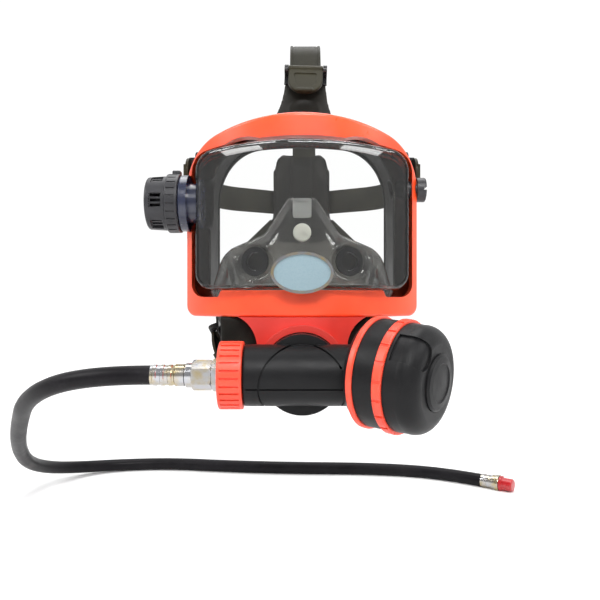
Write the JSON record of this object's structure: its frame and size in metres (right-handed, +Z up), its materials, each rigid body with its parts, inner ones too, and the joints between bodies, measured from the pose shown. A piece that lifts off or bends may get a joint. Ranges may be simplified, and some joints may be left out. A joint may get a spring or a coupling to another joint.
{
  "type": "full-face diving mask with demand regulator",
  "caption": "Full-face diving mask: clear lens in a two-part frame, rubber seal and head harness, and a side-facing demand regulator fed by a hose.",
  "frame": {"origin": "centre of the face opening in the rubber seal, where the wearer's face goes", "axes": "+X to the wearer's left, +Y from the lens towards the wearer's head, +Z up"},
  "size_m": [0.484, 0.3707, 0.4095],
  "materials": {
    "orange_plastic": "satin",
    "bracket_plastic": "satin",
    "black_plastic": "fine texture",
    "gloss_black": "gloss",
    "lens": "clear",
    "clear_plastic": "clear",
    "smoke_silicone": "translucent",
    "black_rubber": "matt",
    "chrome": "polished",
    "badge_face": "printed",
    "steel": "brushed",
    "brass": "machined",
    "white_plastic": "frosted",
    "webbing": "matt",
    "hose_rubber": "matt",
    "red_cap": "gloss"
  },
  "bodies": {
    "mask": {"upper_frame": "orange_plastic", "lower_frame": "orange_plastic", "frame_screws": "steel", "lens": "lens", "face_seal": "black_rubber", "chin_cup": "black_rubber", "inner_mask": "smoke_silicone", "inner_valve_seats": "black_plastic", "inner_valves": "black_rubber", "nose_window": "clear_plastic", "vent_disc": "white_plastic", "badge": "badge_face", "badge_rim": "chrome", "side_valve_neck": "gloss_black", "side_valve_collar": "black_plastic", "port_plug": "black_plastic", "chin_bracket": "bracket_plastic", "port_ring": "black_plastic", "port_o_ring": "black_rubber", "exhaust_cover": "black_plastic", "exhaust_valve": "black_rubber", "regulator_body": "black_plastic", "head_housing": "black_plastic", "head_ring": "orange_plastic", "lock_ring": "orange_plastic", "purge_cover": "black_plastic", "purge_spring": "steel", "diaphragm": "black_rubber", "lever_pin": "steel", "valve_tube": "brass", "poppet_spring": "steel", "inlet_fitting": "chrome", "hose_sleeve": "chrome", "hose": "hose_rubber", "hose_end_sleeve": "chrome", "hose_end_fitting": "chrome", "head_pad": "black_rubber", "top_strap": "webbing", "temple_strap_right": "webbing", "temple_strap_left": "webbing", "lower_strap_right": "webbing", "lower_strap_left": "webbing", "top_buckle": "gloss_black", "temple_right_buckle": "gloss_black", "temple_left_buckle": "gloss_black", "lower_right_buckle": "gloss_black", "lower_left_buckle": "gloss_black"},
    "side_valve": {"side_valve_knob": "black_plastic", "side_valve_shutter": "black_plastic"},
    "purge_button": {"purge_button": "black_plastic"},
    "demand_lever": {"demand_lever": "steel"},
    "poppet": {"poppet": "brass"},
    "adjust_knob": {"adjust_knob": "orange_plastic"},
    "swivel_nut": {"swivel_nut": "chrome"},
    "dust_cap": {"dust_cap": "red_cap"},
    "top_lever": {"top_lever": "gloss_black"},
    "temple_right_lever": {"temple_right_lever": "gloss_black"},
    "temple_left_lever": {"temple_left_lever": "gloss_black"},
    "lower_right_lever": {"lower_right_lever": "gloss_black"},
    "lower_left_lever": {"lower_left_lever": "gloss_black"}
  },
  "joints": [
    {"name": "side_valve_turn", "type": "hinge", "parent": "mask", "child": "side_valve", "pos_m": [-0.108, -0.02, 0.012], "axis": [-1, 0, 0], "range_deg": [0, 90]},
    {"name": "purge_press", "type": "slide", "parent": "mask", "child": "purge_button", "axis": [-0.8118, 0.5769, 0.09], "range_m": [0, 0.0022], "stiffness_N_per_m": 800, "deforming": ["purge_spring", "diaphragm"]},
    {"name": "lever_swing", "type": "hinge", "parent": "mask", "child": "demand_lever", "pos_m": [0.0365, -0.1093, -0.107], "axis": [0, 0, 1], "range_deg": [0, 6]},
    {"name": "poppet_slide", "type": "slide", "parent": "mask", "child": "poppet", "axis": [-1, 0, 0], "range_m": [0, 0.0026], "deforming": ["poppet_spring"]},
    {"name": "adjust_turn", "type": "hinge", "parent": "mask", "child": "adjust_knob", "pos_m": [-0.046, -0.085, -0.1094], "axis": [1, 0, 0], "range_deg": [-120, 120]},
    {"name": "swivel_nut_spin", "type": "hinge", "parent": "mask", "child": "swivel_nut", "pos_m": [-0.065, -0.085, -0.1094], "axis": [1, 0, 0], "continuous": true},
    {"name": "dust_cap_pull", "type": "slide", "parent": "mask", "child": "dust_cap", "axis": [0.7894, -0.6139, 0], "range_m": [0, 0.014]},
    {"name": "top_lever_open", "type": "hinge", "parent": "mask", "child": "top_lever", "pos_m": [0.003, -0.00968, 0.11737], "axis": [-0.9994, 0.0178, 0.0301], "range_deg": [0, 65]},
    {"name": "temple_right_lever_open", "type": "hinge", "parent": "mask", "child": "temple_right_lever", "pos_m": [-0.0922, 0.035, 0.042], "axis": [0, 0, -1], "range_deg": [0, 65]},
    {"name": "temple_left_lever_open", "type": "hinge", "parent": "mask", "child": "temple_left_lever", "pos_m": [0.0922, 0.035, 0.042], "axis": [0, 0, 1], "range_deg": [0, 65]},
    {"name": "lower_right_lever_open", "type": "hinge", "parent": "mask", "child": "lower_right_lever", "pos_m": [-0.06872, 0.02533, -0.09518], "axis": [0.3077, 0.5126, -0.8016], "range_deg": [0, 65]},
    {"name": "lower_left_lever_open", "type": "hinge", "parent": "mask", "child": "lower_left_lever", "pos_m": [0.06872, 0.02533, -0.09518], "axis": [0.3077, -0.5126, 0.8016], "range_deg": [0, 65]}
  ],
  "couplings": [
    {"joint": "lever_swing", "follows": "purge_press", "rad_per_m": 47},
    {"joint": "poppet_slide", "follows": "purge_press", "ratio": 1.048}
  ]
}
